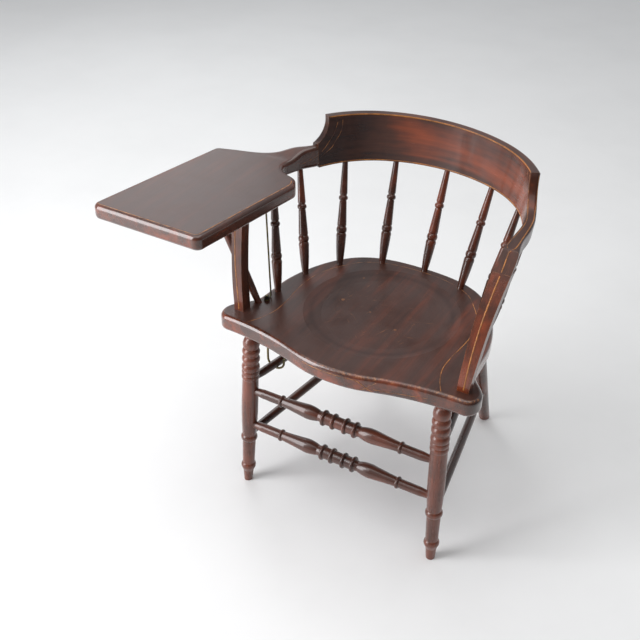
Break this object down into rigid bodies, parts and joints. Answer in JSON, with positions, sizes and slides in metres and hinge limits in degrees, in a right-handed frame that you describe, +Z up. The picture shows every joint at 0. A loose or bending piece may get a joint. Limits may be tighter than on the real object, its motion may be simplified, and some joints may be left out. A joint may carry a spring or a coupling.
{
  "type": "writing arm windsor chair",
  "caption": "Low-backed Windsor armchair in dark stained wood with turned legs and spindles, a bent crest rail and a writing tablet in place of the right arm.",
  "frame": {"origin": "on the floor, under the middle of the chair's whole outline with its tablet", "axes": "+Z up, the sitter faces -Y, +X is the sitter's left, the tablet is at -X"},
  "size_m": [0.7873, 0.6212, 0.7673],
  "materials": {
    "stained_wood": "old dark mahogany-coloured varnish, satin",
    "seat_wood": "old dark varnish worn dull on top",
    "bow_wood": "old red-brown varnish, glossy",
    "tablet_wood": "old dark varnish worn dull on top",
    "bare_wood": "plain, inside the joint",
    "dark_iron": "old black iron, slightly rusty",
    "brass_wire": "tarnished"
  },
  "bodies": {
    "root": {"arm_post": "stained_wood", "back_stretcher": "stained_wood", "bow": "bow_wood", "front_stretcher_lower": "stained_wood", "front_stretcher_upper": "stained_wood", "hook_bolt": "dark_iron", "hook_nut": "dark_iron", "hook_washer": "dark_iron", "leg_back_left": "stained_wood", "leg_back_right": "stained_wood", "leg_front_left": "stained_wood", "leg_front_right": "stained_wood", "seat": "seat_wood", "side_stretcher_left_lower": "stained_wood", "side_stretcher_left_upper": "stained_wood", "side_stretcher_right_lower": "stained_wood", "side_stretcher_right_upper": "stained_wood", "spindle_1": "stained_wood", "spindle_2": "stained_wood", "spindle_3": "stained_wood", "spindle_4": "stained_wood", "spindle_5": "stained_wood", "spindle_6": "stained_wood", "spindle_7": "stained_wood", "spindle_8": "stained_wood", "spindle_9": "stained_wood", "tablet_brace": "stained_wood", "tablet_dowels": "bare_wood", "tablet_post": "stained_wood", "tie_rod": "brass_wire", "writing_tablet": "tablet_wood"}
  },
  "joints": []
}
